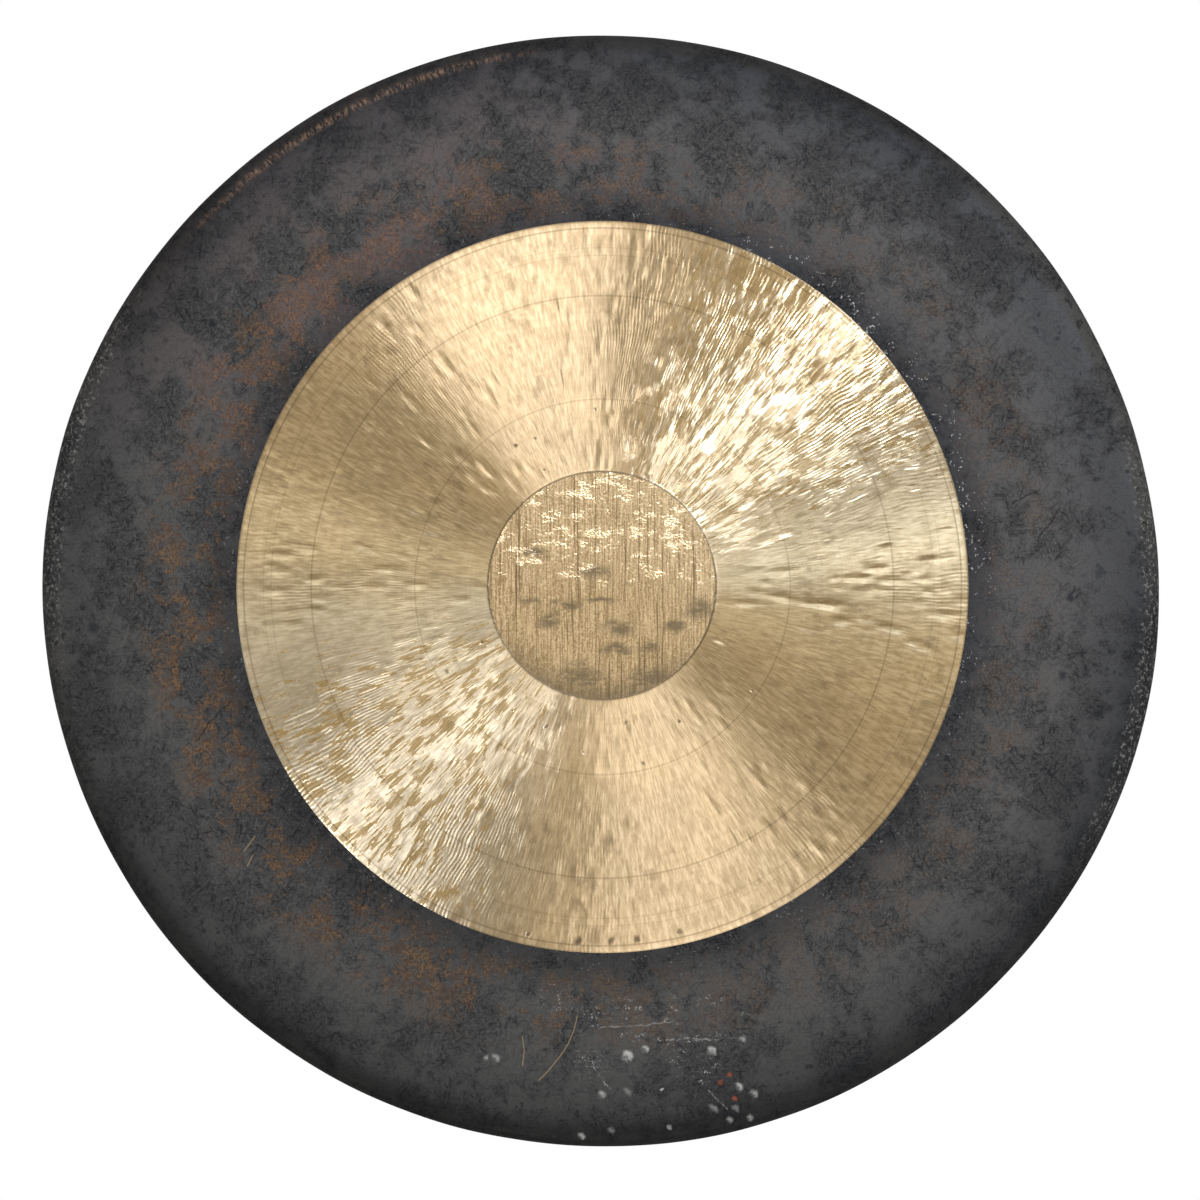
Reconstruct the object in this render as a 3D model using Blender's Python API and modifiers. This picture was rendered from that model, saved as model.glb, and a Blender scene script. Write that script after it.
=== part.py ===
"""A bronze chau gong: one hammered plate with a turned-back rim, drilled for its hanging cord.

Metres, +Z up. The gong hangs by two holes at the top of its rim, and the origin is midway
between them. The struck face looks along -Y and the open back looks along +Y.

The plate is drawn first in its own turning frame: the axis is +Z, the struck face looks up,
and height 0 is the middle of that face. It is then stood up on its edge and hung in place.
"""

import math

import bmesh
import bpy
from mathutils import Matrix, Vector, noise

# Driving dimensions of the plate
DIAMETER = 0.610  # across the shoulder, its widest place
CROWN = 0.006  # how far the face bulges forward
EDGE_FALL = 0.002  # the extra drop of the face just before the shoulder
EDGE_FALL_POWER = 12
SHOULDER_RADIUS = 0.014
RIM_DEPTH = 0.042  # from the start of the shoulder to the lip
RIM_LEAN = math.radians(8)  # the rim closes in towards the lip
CENTRE_WALL = 0.0028
SHOULDER_WALL = 0.0019
LIP_WALL = 0.0024  # the hammer upsets the lip a little
LIP_CHAMFER = 0.0003

# The lathe cleans a ring on both sides and leaves a raised spot in the middle.
SPOT_RADIUS = 0.0617
LATHED_RADIUS = 0.1996
LATHE_CUT = 0.00025
LATHE_STEP = 0.0008  # width of the slope at each edge of the cut

# Two holes through the rim for the cord
HOLE_DIAMETER = 0.008
HOLE_ANGLE = math.radians(14)  # each side of the top
HOLE_BEHIND_SHOULDER = 0.022
HOLE_CUTTER_LENGTH = 0.020

# Hand hammering: the rim is out of round in a few broad lobes, and the face is uneven.
LOBES = (  # number of lobes, how far each stands out, place of one crest clockwise from the top
    (2, 0.00067, math.radians(-74)),
    (3, 0.00028, math.radians(28)),
    (4, 0.00022, math.radians(15)),
    (6, 0.00028, math.radians(-19)),
)
FACE_HAMMERING = 0.00045
FACE_PITCH = 0.065
RIM_HAMMERING = 0.00035
RIM_PITCH = 0.045
FACE_FADE = (0.272, 0.297)  # radii between which the face's unevenness gives way to the rim's

# Facets
SEGMENTS = 96
FACE_SPACING = 0.018
SHOULDER_STEPS = 6
RIM_STEPS = 2
HOLE_SIDES = 24
SHARP_ANGLE = math.radians(35)

RADIUS = DIAMETER / 2


def face_height(radius):
    """Height of the struck face at a radius, from the middle of the face."""
    share = radius / RADIUS
    return -CROWN * share**2 - EDGE_FALL * share**EDGE_FALL_POWER


def face_slope(radius):
    """Angle by which the face falls away at a radius."""
    share = radius / RADIUS
    drop = 2 * CROWN * share + EDGE_FALL_POWER * EDGE_FALL * share ** (EDGE_FALL_POWER - 1)
    return math.atan(drop / RADIUS)


def shoulder_start():
    """Radius at which the face meets the shoulder's arc, for an arc that reaches the diameter."""
    radius = RADIUS - SHOULDER_RADIUS
    for _ in range(8):
        radius = RADIUS - SHOULDER_RADIUS * (1 - math.sin(face_slope(radius)))
    return radius


FACE_RADIUS = shoulder_start()
SHOULDER_HEIGHT = face_height(FACE_RADIUS)
LIP_HEIGHT = SHOULDER_HEIGHT - RIM_DEPTH


def lathe_cut(radius):
    """How deep the lathe went at a radius."""
    lathed = SPOT_RADIUS + LATHE_STEP / 2 < radius < LATHED_RADIUS - LATHE_STEP / 2
    return LATHE_CUT if lathed else 0.0


def face_radii():
    """The radii of the face's rings: even, with a close pair at each edge of the lathed ring."""
    zones = (
        (0.0, SPOT_RADIUS),
        (SPOT_RADIUS + LATHE_STEP, LATHED_RADIUS - LATHE_STEP),
        (LATHED_RADIUS, FACE_RADIUS),
    )
    radii = []
    for start, end in zones:
        steps = round((end - start) / FACE_SPACING)
        radii += [start + (end - start) * step / steps for step in range(steps + 1)]
    return radii


def leaning(angle):
    """A unit vector in the profile's plane, at an angle from straight up towards the rim."""
    return Vector((math.sin(angle), 0, math.cos(angle)))


def stations():
    """(point on the front, outward direction, wall) from the centre of the face to the lip."""
    found = []
    for radius in face_radii():
        wall = CENTRE_WALL + (SHOULDER_WALL - CENTRE_WALL) * radius / FACE_RADIUS
        point = Vector((radius, 0, face_height(radius)))
        found.append((point, leaning(face_slope(radius)), wall))

    start, end = face_slope(FACE_RADIUS), math.pi / 2 + RIM_LEAN
    bend_centre = found[-1][0] - leaning(start) * SHOULDER_RADIUS
    for step in range(1, SHOULDER_STEPS + 1):
        outward = leaning(start + (end - start) * step / SHOULDER_STEPS)
        found.append((bend_centre + outward * SHOULDER_RADIUS, outward, SHOULDER_WALL))

    rim_top = found[-1][0]
    rim_drop = rim_top.z - (LIP_HEIGHT + LIP_CHAMFER)
    for step in range(1, RIM_STEPS + 1):
        drop = rim_drop * step / RIM_STEPS
        wall = LIP_WALL if step == RIM_STEPS else SHOULDER_WALL
        point = rim_top - Vector((drop * math.tan(RIM_LEAN), 0, drop))
        found.append((point, leaning(end), wall))
    return found


def profile():
    """The plate's half section: out along the front, round the lip, and back along the inside."""
    front, back = [], []
    for point, outward, wall in stations():
        cut = outward * lathe_cut(point.x)
        front.append(point - cut)
        back.append(point - outward * wall + cut)
    # The two corners of the lip are level, and chamfered down to the flat that the gong lies on.
    back[-1].z = front[-1].z
    lip = [
        Vector((front[-1].x - LIP_CHAMFER, 0, LIP_HEIGHT)),
        Vector((back[-1].x + LIP_CHAMFER, 0, LIP_HEIGHT)),
    ]
    return front + lip + back[::-1]


def turned(name, points, segments, collection):
    """An object whose mesh is the points turned once about Z."""
    mesh = bpy.data.meshes.new(name)
    mesh.from_pydata(points, [(i, i + 1) for i in range(len(points) - 1)], [])
    obj = bpy.data.objects.new(name, mesh)
    collection.objects.link(obj)
    screw = obj.modifiers.new("turn", "SCREW")
    screw.steps = screw.render_steps = segments
    screw.use_merge_vertices = True
    screw.merge_threshold = 0.00001
    return obj


def make_real(obj):
    """Replaces the object's mesh with what its modifiers make of it."""
    graph = bpy.context.evaluated_depsgraph_get()
    obj.data = bpy.data.meshes.new_from_object(obj.evaluated_get(graph))
    obj.modifiers.clear()


def smooth_share(value, start, end):
    """0 before start, 1 after end, and a smooth climb between them."""
    share = min(max((value - start) / (end - start), 0.0), 1.0)
    return share * share * (3 - 2 * share)


def out_of_round(clock):
    """How far the rim stands out at an angle clockwise from the top."""
    return sum(height * math.cos(lobes * (clock - crest)) for lobes, height, crest in LOBES)


def hammer(mesh):
    """Moves the turned plate's points: the face in and out, and the rim in and out of round."""
    for vertex in mesh.vertices:
        point = vertex.co.copy()
        across = Vector((point.x, point.y, 0))
        radius = across.length
        at_rim = smooth_share(radius, *FACE_FADE)
        vertex.co.z += FACE_HAMMERING * (1 - at_rim) * noise.noise(across / FACE_PITCH)
        if at_rim > 0:
            push = out_of_round(math.atan2(point.x, point.y))
            push += RIM_HAMMERING * noise.noise(point / RIM_PITCH)
            vertex.co += across.normalized() * push * at_rim


def finish_material(name, colour, roughness):
    """Bronze with one of the plate's finishes."""
    material = bpy.data.materials.new(name)
    material.use_nodes = True
    shader = material.node_tree.nodes["Principled BSDF"]
    shader.inputs["Base Color"].default_value = (*colour, 1)
    shader.inputs["Metallic"].default_value = 1.0
    shader.inputs["Roughness"].default_value = roughness
    return material


def paint_zones(mesh):
    """Oxide skin all over, but for the lathed ring on both sides and the scraped spot in front."""
    mesh.materials.append(finish_material("oxide_skin", (0.075, 0.073, 0.072), 0.60))
    mesh.materials.append(finish_material("lathed_bronze", (0.60, 0.46, 0.24), 0.35))
    mesh.materials.append(finish_material("scraped_bronze", (0.50, 0.36, 0.18), 0.45))
    for face in mesh.polygons:
        radius = math.hypot(face.center.x, face.center.y)
        if SPOT_RADIUS < radius < LATHED_RADIUS:
            face.material_index = 1
        elif radius < SPOT_RADIUS and face.normal.z > 0:
            face.material_index = 2


def hole_place(side):
    """Middle of one cord hole, in the rim's wall. side is -1 for the left and 1 for the right."""
    height = SHOULDER_HEIGHT - HOLE_BEHIND_SHOULDER
    rim_top = stations()[-1 - RIM_STEPS][0]
    radius = rim_top.x - (rim_top.z - height) * math.tan(RIM_LEAN) - SHOULDER_WALL / 2
    return Vector((side * radius * math.sin(HOLE_ANGLE), radius * math.cos(HOLE_ANGLE), height))


def drill_hole(plate, name, side, cutters):
    """Cuts one cord hole along the rim's radius."""
    drill = bmesh.new()
    bmesh.ops.create_cone(
        drill,
        cap_ends=True,
        segments=HOLE_SIDES,
        radius1=HOLE_DIAMETER / 2,
        radius2=HOLE_DIAMETER / 2,
        depth=HOLE_CUTTER_LENGTH,
    )
    mesh = bpy.data.meshes.new(name)
    drill.to_mesh(mesh)
    drill.free()

    cutter = bpy.data.objects.new(name, mesh)
    cutters.objects.link(cutter)
    centre = hole_place(side)
    along_radius = Vector((centre.x, centre.y, 0)).to_track_quat("Z", "X").to_matrix().to_4x4()
    cutter.matrix_world = Matrix.Translation(centre) @ along_radius
    cutter.parent = plate
    cutter.display_type = "WIRE"
    cutter.hide_render = True

    cut = plate.modifiers.new(name, "BOOLEAN")
    cut.operation = "DIFFERENCE"
    cut.solver = "EXACT"
    cut.object = cutter


def hang(plate):
    """Stands the plate on edge, face towards -Y, with the origin midway between its holes."""
    upright = Matrix.Rotation(math.pi / 2, 4, "X")
    between_holes = (hole_place(-1) + hole_place(1)) / 2
    plate.matrix_world = Matrix.Translation(-(upright @ between_holes)) @ upright


def new_collection(name):
    collection = bpy.data.collections.new(name)
    bpy.context.scene.collection.children.link(collection)
    return collection


def main():
    for obj in list(bpy.data.objects):
        bpy.data.objects.remove(obj)
    gong = new_collection("chau_gong")
    cutters = new_collection("cutters")

    plate = turned("gong_plate", profile(), SEGMENTS, gong)
    make_real(plate)
    hammer(plate.data)
    paint_zones(plate.data)
    plate.data.shade_smooth()
    plate.data.set_sharp_from_angle(angle=SHARP_ANGLE)
    drill_hole(plate, "left_hole_cutter", -1, cutters)
    drill_hole(plate, "right_hole_cutter", 1, cutters)
    hang(plate)


main()
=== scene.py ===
import math
import random

import bpy
import numpy as np
from mathutils import Matrix, Vector, noise


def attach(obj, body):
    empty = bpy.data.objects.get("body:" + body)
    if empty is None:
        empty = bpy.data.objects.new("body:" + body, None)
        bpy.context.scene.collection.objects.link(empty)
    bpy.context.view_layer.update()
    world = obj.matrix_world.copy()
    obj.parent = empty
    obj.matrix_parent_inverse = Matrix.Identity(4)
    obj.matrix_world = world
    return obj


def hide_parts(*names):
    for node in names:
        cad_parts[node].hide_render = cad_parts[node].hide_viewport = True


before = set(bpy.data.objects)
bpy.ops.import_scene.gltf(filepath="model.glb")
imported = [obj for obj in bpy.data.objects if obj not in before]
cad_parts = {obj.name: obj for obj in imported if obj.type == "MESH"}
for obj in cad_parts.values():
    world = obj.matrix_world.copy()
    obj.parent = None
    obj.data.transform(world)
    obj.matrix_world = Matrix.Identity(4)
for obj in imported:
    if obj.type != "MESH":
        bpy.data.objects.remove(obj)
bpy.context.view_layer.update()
bpy.ops.object.select_all(action="DESELECT")

# The plate's measures, in metres and radians
RADIUS = 0.305  # of the shoulder, the plate's widest place
CROWN = 0.006  # how far the face bulges forward
EDGE_FALL = 0.002  # the extra drop of the face just before the shoulder
EDGE_FALL_POWER = 12
SHOULDER_RADIUS = 0.014
RIM_DEPTH = 0.042  # from the start of the shoulder to the lip
RIM_LEAN = math.radians(8)  # the rim closes in towards the lip
CENTRE_WALL = 0.0028
SHOULDER_WALL = 0.0019
LIP_WALL = 0.0024  # the hammer upsets the lip a little
LIP_SWELL = 0.014  # how much of the rim's depth thickens towards the lip
LIP_CHAMFER = 0.0003
SPOT_RADIUS = 0.0617
LATHED_RADIUS = 0.1996
LATHE_CUT = 0.00025
LATHE_STEP = 0.0008  # width of the slope at each edge of the cut
HOLE_DIAMETER = 0.008
HOLE_ANGLE = math.radians(14)  # each side of the top
HOLE_BEHIND_SHOULDER = 0.022
LOBES = (  # number of lobes, how far each stands out, place of one crest clockwise from the top
    (2, 0.00067, math.radians(-74)),
    (3, 0.00028, math.radians(28)),
    (4, 0.00022, math.radians(15)),
    (6, 0.00028, math.radians(-19)),
)
FACE_HAMMERING = 0.00045
FACE_PITCH = 0.065
RIM_HAMMERING = 0.00035
RIM_PITCH = 0.045
FACE_FADE = (0.272, 0.297)  # radii between which the face's unevenness gives way to the rim's

# The lathe and the scraper weren't quite centred on the plate: right and up, in metres.
RING_OFFSET = (0.0007, 0.0022)
SPOT_OFFSET = (0.0004, 0.0030)
FULL_RING_OFFSET = 0.150  # the radius from which the plate is off centre as the lathe was
OFFSET_FADE = (0.205, 0.285)  # radii between which that dies out in the border
SPOT_NICKS = ((0.00045, 0.034), (0.00025, 0.012))  # how far the spot's edge wanders, and its pitch
NICKS_WIDTH = 0.004

# Steps along the sections, fine in front and coarse behind, and steps round the axis
SPOT_STEPS = (0.001, 0.0045)
RING_STEPS = (0.00165, 0.006)
BORDER_STEPS = (0.002, 0.0052)
BEND_STEPS = (0.14, 0.42)
RIM_STEP = 0.0032
SPOT_TURNS = 384
RING_TURNS = 800
BORDER_TURNS = 960
MERGE_DISTANCE = 0.000004
HOLE_SIDES = 48
DRILL_LENGTH = 0.02


def face_height(radius):
    share = radius / RADIUS
    return -CROWN * share**2 - EDGE_FALL * share**EDGE_FALL_POWER


def face_slope(radius):
    share = radius / RADIUS
    drop = 2 * CROWN * share + EDGE_FALL_POWER * EDGE_FALL * share ** (EDGE_FALL_POWER - 1)
    return math.atan(drop / RADIUS)


def shoulder_start():
    """The radius at which the shoulder bends away from the face, found in a few rounds."""
    radius = RADIUS - SHOULDER_RADIUS
    for _ in range(8):
        radius = RADIUS - SHOULDER_RADIUS * (1 - math.sin(face_slope(radius)))
    return radius


FACE_RADIUS = shoulder_start()
SHOULDER_HEIGHT = face_height(FACE_RADIUS)
LIP_HEIGHT = SHOULDER_HEIGHT - RIM_DEPTH
BEND_START = face_slope(FACE_RADIUS)
BEND_END = math.pi / 2 + RIM_LEAN


def out_from(angle):
    """A direction in the section, at an angle from straight forwards towards the rim."""
    return Vector((math.sin(angle), math.cos(angle)))


def bend_centre():
    """The middle of the shoulder's bend, as (radius, height)."""
    return Vector((FACE_RADIUS, SHOULDER_HEIGHT)) - out_from(BEND_START) * SHOULDER_RADIUS


def rim_top():
    """Where the shoulder's bend ends and the rim begins, as (radius, height)."""
    return bend_centre() + out_from(BEND_END) * SHOULDER_RADIUS


def hole_centre():
    """(radius, height) of the cord holes in the middle of the rim's wall."""
    height = SHOULDER_HEIGHT - HOLE_BEHIND_SHOULDER
    top = rim_top()
    radius = top.x - (top.y - height) * math.tan(RIM_LEAN) - SHOULDER_WALL / 2
    return radius, height


# The origin is midway between the cord holes, and the gong's axis runs along Y below it.
HOLE_RADIUS, HOLE_HEIGHT = hole_centre()
AXIS_Z = -HOLE_RADIUS * math.cos(HOLE_ANGLE)
FACE_Y = HOLE_HEIGHT


def hung(radius, height):
    """A point of the section in its place on the hanging gong, above the axis."""
    return Vector((0, FACE_Y - height, AXIS_Z + radius))


def eased(value, start, end):
    """0 before start, 1 after end, and a smooth climb between them, for numbers or arrays."""
    share = np.clip((value - start) / (end - start), 0, 1)
    return share * share * (3 - 2 * share)


# Sections
def steps_between(start, end, spacing):
    count = max(1, round((end - start) / spacing))
    return [start + (end - start) * step / count for step in range(count + 1)]


def wall_at(radius):
    return CENTRE_WALL + (SHOULDER_WALL - CENTRE_WALL) * radius / FACE_RADIUS


def lathe_cut(radius):
    into = eased(radius, SPOT_RADIUS, SPOT_RADIUS + LATHE_STEP)
    out = eased(radius, LATHED_RADIUS - LATHE_STEP, LATHED_RADIUS)
    return LATHE_CUT * float(into * (1 - out))


def front(radius):
    """A point on the struck face."""
    point = Vector((radius, face_height(radius)))
    return point - out_from(face_slope(radius)) * lathe_cut(radius)


def back(radius):
    """The point behind front(radius), on the back of the face."""
    point = Vector((radius, face_height(radius)))
    return point - out_from(face_slope(radius)) * (wall_at(radius) - lathe_cut(radius))


def spot_section():
    """Out over the spot, and back to the axis behind it."""
    fine, coarse = SPOT_STEPS
    far_side = [back(radius) for radius in steps_between(0, SPOT_RADIUS, coarse)[::-1]]
    far_side[-1].x = 0
    return [front(radius) for radius in steps_between(0, SPOT_RADIUS, fine)] + far_side


def ring_section():
    """Out over the lathed ring, with the slopes at its edges, and in again behind it."""
    fine, coarse = RING_STEPS
    inner, outer = SPOT_RADIUS + LATHE_STEP, LATHED_RADIUS - LATHE_STEP
    radii = [SPOT_RADIUS, SPOT_RADIUS + LATHE_STEP / 2] + steps_between(inner, outer, fine)
    radii += [LATHED_RADIUS - LATHE_STEP / 2, LATHED_RADIUS]
    far = [SPOT_RADIUS] + steps_between(inner, outer, coarse) + [LATHED_RADIUS]
    loop = [front(radius) for radius in radii] + [back(radius) for radius in far[::-1]]
    return loop + loop[:1]


def border_section():
    """Out over the dark border, round the shoulder, back along the rim, round the lip and in again."""
    fine, coarse = BORDER_STEPS
    fine_bend, coarse_bend = BEND_STEPS
    middle, top = bend_centre(), rim_top()
    loop = [front(radius) for radius in steps_between(LATHED_RADIUS, FACE_RADIUS, fine)]
    turns = steps_between(BEND_START, BEND_END, fine_bend)[1:]
    loop += [middle + out_from(turn) * SHOULDER_RADIUS for turn in turns]
    drop = top.y - (LIP_HEIGHT + LIP_CHAMFER)
    outside, inside = [], []
    for fall in steps_between(0, drop, RIM_STEP)[1:]:
        wall = SHOULDER_WALL + (LIP_WALL - SHOULDER_WALL) * float(eased(fall, drop - LIP_SWELL, drop))
        point = top - Vector((fall * math.tan(RIM_LEAN), fall))
        outside.append(point)
        inside.append(point - out_from(BEND_END) * wall)
    inside[-1].y = outside[-1].y
    lip = [
        Vector((outside[-1].x - LIP_CHAMFER, LIP_HEIGHT)),
        Vector((inside[-1].x + LIP_CHAMFER, LIP_HEIGHT)),
    ]
    inner_turns = steps_between(BEND_START, BEND_END, coarse_bend)[::-1]
    inner_bend = [middle + out_from(turn) * (SHOULDER_RADIUS - SHOULDER_WALL) for turn in inner_turns]
    inner_face = [back(radius) for radius in steps_between(LATHED_RADIUS, FACE_RADIUS, coarse)[:-1]]
    loop += outside + lip + inside[::-1][::2] + inner_bend + inner_face[::-1]
    return loop + loop[:1]


# Turning
def pick(piece):
    """Makes the piece the active one and the only one selected."""
    bpy.ops.object.select_all(action="DESELECT")
    bpy.context.view_layer.objects.active = piece
    piece.select_set(True)


def turned(name, section, turns):
    """A closed turned form: the section is drawn as a chain above the axis and spun once round it."""
    bpy.ops.mesh.primitive_plane_add(size=0.001, location=(0, 0, 0))
    piece = bpy.context.object
    piece.name = piece.data.name = name
    bpy.ops.object.mode_set(mode="EDIT")
    bpy.ops.mesh.select_all(action="SELECT")
    bpy.ops.mesh.merge(type="CENTER")
    points = [hung(*point) for point in section]
    bpy.ops.transform.translate(value=points[0])
    for here, there in zip(points, points[1:]):
        bpy.ops.mesh.extrude_region_move(TRANSFORM_OT_translate={"value": there - here})
    bpy.ops.mesh.select_all(action="SELECT")
    # One sixteenth is spun, and what there is then doubles until it goes all the way round.
    on_axis = (0, 0, AXIS_Z)
    share = 16
    bpy.ops.mesh.spin(steps=turns // share, angle=math.tau / share, center=on_axis, axis=(0, 1, 0))
    while share > 1:
        bpy.ops.mesh.select_all(action="SELECT")
        bpy.ops.mesh.duplicate()
        turn = math.tau / share
        bpy.ops.transform.rotate(value=turn, orient_axis="Y", center_override=on_axis)
        share //= 2
    bpy.ops.mesh.select_all(action="SELECT")
    bpy.ops.mesh.remove_doubles(threshold=MERGE_DISTANCE)
    bpy.ops.mesh.normals_make_consistent(inside=False)
    bpy.ops.mesh.select_all(action="DESELECT")
    bpy.ops.object.mode_set(mode="OBJECT")
    return piece


def drill_cord_holes(piece):
    """Drills the two holes through the rim, along its radius."""
    for angle in (-HOLE_ANGLE, HOLE_ANGLE):
        centre = (HOLE_RADIUS * math.sin(angle), 0, AXIS_Z + HOLE_RADIUS * math.cos(angle))
        bpy.ops.mesh.primitive_cylinder_add(
            vertices=HOLE_SIDES,
            radius=HOLE_DIAMETER / 2,
            depth=DRILL_LENGTH,
            location=centre,
            rotation=(0, angle, 0),
        )
        drill = bpy.context.object
        pick(piece)
        bpy.ops.object.modifier_add(type="BOOLEAN")
        cut = piece.modifiers[-1]
        cut.operation = "DIFFERENCE"
        cut.object = drill
        bpy.ops.object.modifier_apply(modifier=cut.name)
        bpy.data.objects.remove(drill)


# Hammering
UPPER_RIGHT = 45  # places on the clock where the ring's blows are thickest, in degrees
LOWER_LEFT = 228
RING_BLOWS = 1300
BORDER_BLOWS = 620
BORDER_STRUCK = (0.204, 0.290)  # radii between which the border's blows fall
STRUCK_DEPTH = 0.0012  # how far behind the face a point may lie and still be struck
STRUCK_PAST_FACE = 0.004


def read_points(mesh):
    """The mesh's points as (right, up, height) from the gong's axis and the middle of its face."""
    world = np.empty(len(mesh.vertices) * 3)
    mesh.vertices.foreach_get("co", world)
    world = world.reshape(-1, 3)
    return np.stack([world[:, 0], world[:, 2] - AXIS_Z, FACE_Y - world[:, 1]], 1)


def write_points(mesh, points):
    world = np.stack([points[:, 0], FACE_Y - points[:, 2], points[:, 1] + AXIS_Z], 1)
    mesh.vertices.foreach_set("co", world.ravel())
    mesh.update()


def polar(points):
    """How far each point is from the axis, and its place on the clock in radians."""
    right, up = points[:, 0], points[:, 1]
    return np.hypot(right, up), np.arctan2(right, up)


def noise_at(points, pitch):
    return np.array([noise.noise(Vector(point)) for point in points / pitch])


def out_of_round(clock):
    return sum(height * np.cos(lobes * (clock - crest)) for lobes, height, crest in LOBES)


def form(points):
    """The plate's broad unevenness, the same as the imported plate's."""
    radius, clock = polar(points)
    at_rim = eased(radius, *FACE_FADE)
    flat = points.copy()
    flat[:, 2] = 0
    moved = points.copy()
    moved[:, 2] += FACE_HAMMERING * (1 - at_rim) * noise_at(flat, FACE_PITCH)
    push = (out_of_round(clock) + RIM_HAMMERING * noise_at(points, RIM_PITCH)) * at_rim
    moved[:, 0] += np.sin(clock) * push
    moved[:, 1] += np.cos(clock) * push
    return moved


def set_zones_off_centre(points):
    """Moves the edges of the ring and the spot as far off centre as the lathe and the scraper were."""
    radius, clock = polar(points)
    right, up = np.sin(clock), np.cos(clock)
    outer = eased(radius, SPOT_RADIUS, FULL_RING_OFFSET)
    held = 1 - eased(radius, *OFFSET_FADE)
    on_circle = np.stack([right, up, 0 * clock], 1)
    nicks = sum(height * noise_at(on_circle, pitch) for height, pitch in SPOT_NICKS)
    nicks *= np.exp(-(((radius - SPOT_RADIUS) / NICKS_WIDTH) ** 2))
    for axis, toward in ((0, right), (1, up)):
        shift = SPOT_OFFSET[axis] * (1 - outer) + RING_OFFSET[axis] * outer
        points[:, axis] += shift * held + nicks * toward
    return points


def near_clock(clock, middle, width):
    """1 at a place on the clock and less away from it, all in degrees."""
    away = abs((clock - middle + 180) % 360 - 180)
    return math.exp(-((away / width) ** 2))


def blow_places(seed, count, inner, outer, keep):
    """Places for hammer blows in a ring, each kept with a chance that depends on the clock.

    A place is its radius, its clock and three numbers from 0 to 1 for the blow's shape.
    """
    chance = random.Random(seed)
    places = []
    while len(places) < count:
        radius = math.sqrt(chance.uniform(inner**2, outer**2))
        clock = chance.uniform(-math.pi, math.pi)
        draw = [chance.random() for _ in range(4)]
        if draw[0] < keep(math.degrees(clock) % 360):
            places.append((radius, clock, draw[1:]))
    return places


def ring_blows():
    """Long narrow blows that point at the middle, thickest at the upper right and the lower left."""

    def keep(clock):
        upper, lower = near_clock(clock, UPPER_RIGHT, 40), near_clock(clock, LOWER_LEFT, 40)
        return 0.25 + 0.65 * upper + 0.6 * lower

    inner, outer = SPOT_RADIUS + 0.004, LATHED_RADIUS - 0.002
    blows = []
    for radius, clock, draw in blow_places(11, RING_BLOWS, inner, outer, keep):
        across = 0.0016 + 0.0020 * draw[0]
        along = across * (1.6 + 2.0 * draw[1])
        gentle = 1 - 0.45 * near_clock(math.degrees(clock) % 360, LOWER_LEFT, 45)
        depth = across * (0.02 + 0.06 * draw[2] ** 1.5) * gentle
        blows.append((radius, clock, across, along, depth))
    return blows


def border_blows():
    """Broad shallow blows all over the dark border."""
    blows = []
    for radius, clock, draw in blow_places(23, BORDER_BLOWS, *BORDER_STRUCK, lambda clock: 1):
        across = 0.006 + 0.007 * draw[0]
        along = across * (0.8 + 0.5 * draw[1])
        depth = 0.00004 + 0.00016 * draw[2]
        blows.append((radius, clock, across, along, depth))
    return blows


def strike(points, blows):
    """Presses each blow (radius, clock, across, along, depth) into the front as a rounded dent."""
    from_axis = polar(points)[0]
    facing = points[:, 2] > face_height(from_axis) - STRUCK_DEPTH
    facing &= from_axis < FACE_RADIUS + STRUCK_PAST_FACE
    index = np.flatnonzero(facing)
    index = index[np.argsort(points[index, 0])]
    right, up = points[index, 0], points[index, 1]
    sunk = np.zeros(len(index))
    for radius, clock, across, along, depth in blows:
        x, y = radius * math.sin(clock), radius * math.cos(clock)
        reach = max(across, along)
        low, high = np.searchsorted(right, (x - reach, x + reach))
        dx, dy = right[low:high] - x, up[low:high] - y
        outward = dx * math.sin(clock) + dy * math.cos(clock)
        sideways = dx * math.cos(clock) - dy * math.sin(clock)
        away = (outward / along) ** 2 + (sideways / across) ** 2
        sunk[low:high] -= depth * np.clip(1 - away, 0, 1) ** 2
    points[index, 2] += sunk
    return points


def hammer(piece, blows=()):
    """Takes a turned piece out of true as the plate is, and strikes it."""
    points = set_zones_off_centre(form(read_points(piece.data)))
    write_points(piece.data, strike(points, blows))


# Single marks, in millimetres right and up of the gong's axis
# A dot also has its radius, in millimetres, and its strength.
PITS = (
    (-47, 79, 1.6, 0.8), (-36, 83, 1.1, 0.7), (-3, 99, 1.3, 0.8), (-31, 66, 1.0, 0.6),
    (-30, -74, 1.5, 0.8), (14, -72, 1.2, 0.7), (42, -71, 1.3, 0.9), (-10, -88, 1.0, 0.7),
    (23, -94, 1.4, 0.8), (82, -54, 1.1, 0.7), (78, 47, 1.0, 0.6), (-84, -44, 1.5, 0.8),
    (-48, -65, 1.1, 0.8), (-65, -28, 1.3, 0.7), (-12, -191, 3.1, 1.0), (6, -191, 2.4, 0.9),
    (20, -190, 2.6, 1.0), (-40, -187, 2.2, 0.7), (43, -186, 2.0, 0.8),
)
PEENS = (
    (14, -254, 3.9, 1.0), (24, -250, 2.6, 0.6), (60, -251, 3.3, 0.8), (77, -245, 2.6, 0.4),
    (0, -275, 2.8, 0.5), (75, -271, 3.1, 0.7), (83, -275, 3.2, 0.45), (61, -283, 3.2, 0.35),
    (73, -283, 3.1, 0.3), (81, -288, 2.6, 0.5), (70, -289, 2.7, 0.4), (-11, -298, 2.6, 0.55),
    (-58, -255, 3.0, 0.5), (-63, -255, 2.4, 0.4), (37, -293, 1.9, 0.4), (14, -274, 3.2, 0.25),
    (33, -272, 1.1, 0.7), (5, -295, 2.7, 0.25),
)
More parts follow.
